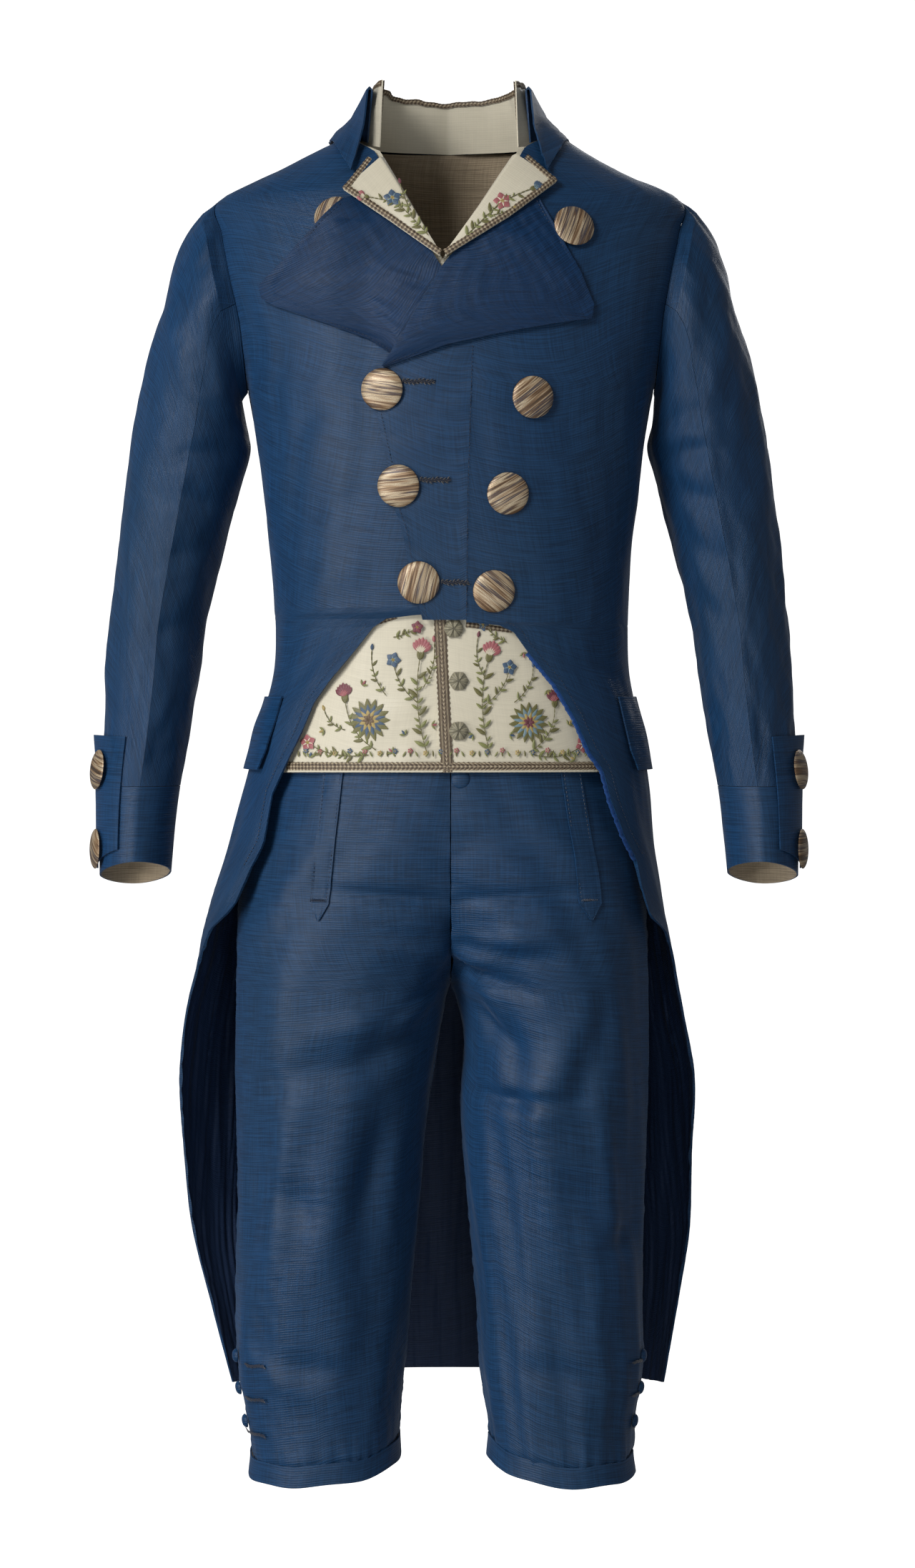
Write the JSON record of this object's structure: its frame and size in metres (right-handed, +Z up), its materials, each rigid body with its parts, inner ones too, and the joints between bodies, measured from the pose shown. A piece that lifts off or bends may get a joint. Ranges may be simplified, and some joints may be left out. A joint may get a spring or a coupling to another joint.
{
  "type": "man's suit of coat, waistcoat and knee breeches, late eighteenth century",
  "caption": "Hollow worn suit in silk: double-breasted cutaway coat with tails, cream waistcoat turned out over its lapels, and knee breeches.",
  "frame": {"origin": "middle of the neck's base, where the suit is held by its wearer", "axes": "+Z up, -Y the front, +X the wearer's left"},
  "size_m": [0.5926, 0.2829, 1.1575],
  "materials": {
    "blue_silk": "ribbed shot silk with a soft sheen",
    "cream_silk": "cream silk satin with embroidery",
    "button_metal": "domed button covered in metal thread and strips",
    "grey_thread": "thread-wrapped button"
  },
  "bodies": {
    "root": {"coat_front_right": "blue_silk", "coat_back_right": "blue_silk", "coat_lapel_right": "blue_silk", "pocket_flap_right": "blue_silk", "sleeve_upper_right": "blue_silk", "sleeve_under_right": "blue_silk", "cuff_right": "blue_silk", "cuff_placket_right": "blue_silk", "breeches_front_right": "blue_silk", "breeches_back_right": "blue_silk", "knee_band_right": "blue_silk", "fall_placket_right": "blue_silk", "knee_button_right_1": "blue_silk", "knee_button_right_2": "blue_silk", "knee_button_right_3": "blue_silk", "coat_button_right_1": "button_metal", "coat_button_right_2": "button_metal", "coat_button_right_3": "button_metal", "coat_button_right_4": "button_metal", "cuff_button_right_1": "button_metal", "cuff_button_right_2": "button_metal", "waistcoat_front_right": "cream_silk", "waistcoat_lapel_right": "cream_silk", "coat_front_left": "blue_silk", "coat_back_left": "blue_silk", "coat_lapel_left": "blue_silk", "pocket_flap_left": "blue_silk", "sleeve_upper_left": "blue_silk", "sleeve_under_left": "blue_silk", "cuff_left": "blue_silk", "cuff_placket_left": "blue_silk", "breeches_front_left": "blue_silk", "breeches_back_left": "blue_silk", "knee_band_left": "blue_silk", "fall_placket_left": "blue_silk", "knee_button_left_1": "blue_silk", "knee_button_left_2": "blue_silk", "knee_button_left_3": "blue_silk", "coat_button_left_1": "button_metal", "coat_button_left_2": "button_metal", "coat_button_left_3": "button_metal", "coat_button_left_4": "button_metal", "cuff_button_left_1": "button_metal", "cuff_button_left_2": "button_metal", "waistcoat_front_left": "cream_silk", "waistcoat_lapel_left": "cream_silk", "coat_overlap_left": "blue_silk", "coat_collar": "blue_silk", "breeches_waistband": "blue_silk", "waist_button": "blue_silk", "waistcoat_back": "cream_silk", "waistcoat_collar": "cream_silk", "waistcoat_button_1": "grey_thread", "waistcoat_button_2": "grey_thread", "waistcoat_button_3": "grey_thread"}
  },
  "joints": []
}
